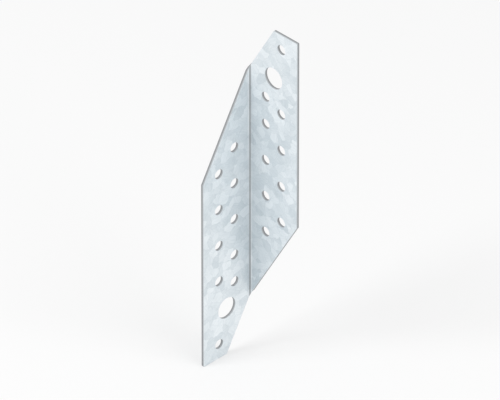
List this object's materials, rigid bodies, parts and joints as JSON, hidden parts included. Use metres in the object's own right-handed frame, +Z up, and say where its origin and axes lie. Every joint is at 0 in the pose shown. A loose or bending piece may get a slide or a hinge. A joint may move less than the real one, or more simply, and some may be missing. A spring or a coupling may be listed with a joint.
{
  "type": "angle bracket",
  "caption": "Folded galvanised sheet with slanted ends and staggered nail holes, for tying a timber to another that it crosses.",
  "frame": {"origin": "sharp outer corner of the fold at mid length, where the planes of the two bearing faces meet", "axes": "+Z up along the fold, to the upper flange's tip; the upper flange runs along +X with its bearing face towards +Y; the lower flange runs along -Y with its bearing face towards -X"},
  "size_m": [0.0315, 0.0315, 0.18],
  "materials": {
    "galvanised_steel": "hot-dip galvanised, satin, with a fine spangle"
  },
  "bodies": {
    "root": {"angle_bracket": "galvanised_steel"}
  },
  "joints": []
}
